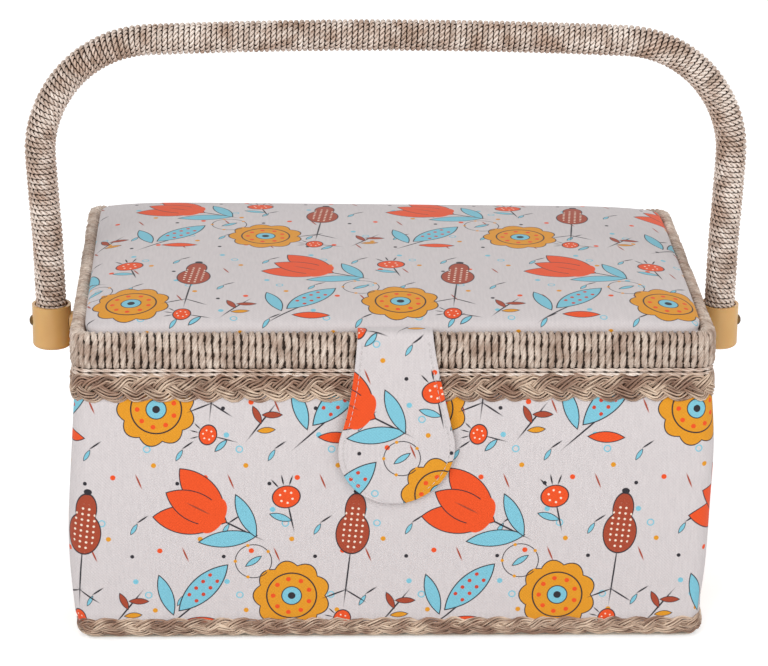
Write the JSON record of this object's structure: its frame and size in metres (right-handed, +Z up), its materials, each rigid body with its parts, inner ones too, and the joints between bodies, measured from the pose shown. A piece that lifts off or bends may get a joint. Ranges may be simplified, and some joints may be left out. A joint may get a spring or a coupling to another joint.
{
  "type": "storage box",
  "caption": "Cloth-covered sewing or craft storage box with a padded hinged lid, plaited trims, a cloth closing tab, a lift-out tray and a tall wrapped swing handle.",
  "frame": {"origin": "centre of the flat underside", "axes": "+X to the right of the front face and along the long side, +Y to the back, +Z up"},
  "size_m": [0.3498, 0.2075, 0.278],
  "materials": {
    "board": "matt grey-brown board",
    "printed_cloth": null,
    "lining_cloth": "plain cream satin",
    "foam": "soft wadding",
    "plait": "glossy plaited paper straw",
    "paper_cord": "two-ply twisted paper cord",
    "wood": "plain softwood",
    "steel": "zinc plated",
    "bronze": "antique bronze",
    "brass": "satin brass",
    "tan_plastic": "moulded, satin",
    "clear_plastic": "white moulded"
  },
  "bodies": {
    "box": {"wall_board": "board", "base_board": "board", "base_sheet": "lining_cloth", "outer_cover": "printed_cloth", "inner_lining": "lining_cloth", "floor_pad": "lining_cloth", "base_braid": "plait", "rim_braid": "plait", "rim_cord_lower": "paper_cord", "rim_cord_upper": "paper_cord", "tray_ledge_left": "wood", "tray_ledge_right": "wood", "pivot_rivet_left": "bronze", "pivot_rivet_right": "bronze", "pivot_washer_left": "steel", "pivot_washer_right": "steel", "pivot_spacer_left": "tan_plastic", "pivot_spacer_right": "tan_plastic", "snap_base": "steel", "snap_backing": "steel", "hinge_body_leaf_left": "brass", "hinge_body_leaf_right": "brass", "hinge_pin_left": "brass", "hinge_pin_right": "brass", "hinge_screws_body": "brass"},
    "lid": {"lid_board": "board", "lid_frame": "wood", "lid_padding": "foam", "lid_cover": "printed_cloth", "lid_band_wrap": "paper_cord", "lid_lining": "lining_cloth", "pin_cushion": "lining_cloth", "lid_pocket": "lining_cloth", "pocket_elastic": "lining_cloth", "tab_root": "printed_cloth", "hinge_lid_leaf_left": "brass", "hinge_lid_leaf_right": "brass", "hinge_screws_lid": "brass"},
    "tab": {"tab_front_cloth": "printed_cloth", "tab_back_cloth": "printed_cloth", "tab_stiffener": "board", "tab_snap": "steel"},
    "handle": {"handle_core": "steel", "handle_wrap": "paper_cord", "wrap_turns_left": "paper_cord", "wrap_turns_right": "paper_cord", "cuff_left": "tan_plastic", "cuff_right": "tan_plastic"},
    "tray": {"tray": "clear_plastic"}
  },
  "joints": [
    {"name": "handle_swing", "type": "hinge", "parent": "box", "child": "handle", "pos_m": [0, 0, 0.127], "axis": [1, 0, 0], "range_deg": [-118, 118]},
    {"name": "lid_hinge", "type": "hinge", "parent": "box", "child": "lid", "pos_m": [0, 0.1023, 0.1379], "axis": [-1, 0, 0], "range_deg": [0, 36]},
    {"name": "tab_hinge", "type": "hinge", "parent": "lid", "child": "tab", "pos_m": [0, -0.1012, 0.15535], "axis": [-1, 0, 0], "range_deg": [0, 110]},
    {"name": "tray_lift", "type": "slide", "parent": "box", "child": "tray", "axis": [0, 0, 1], "range_m": [0, 0.008]}
  ]
}
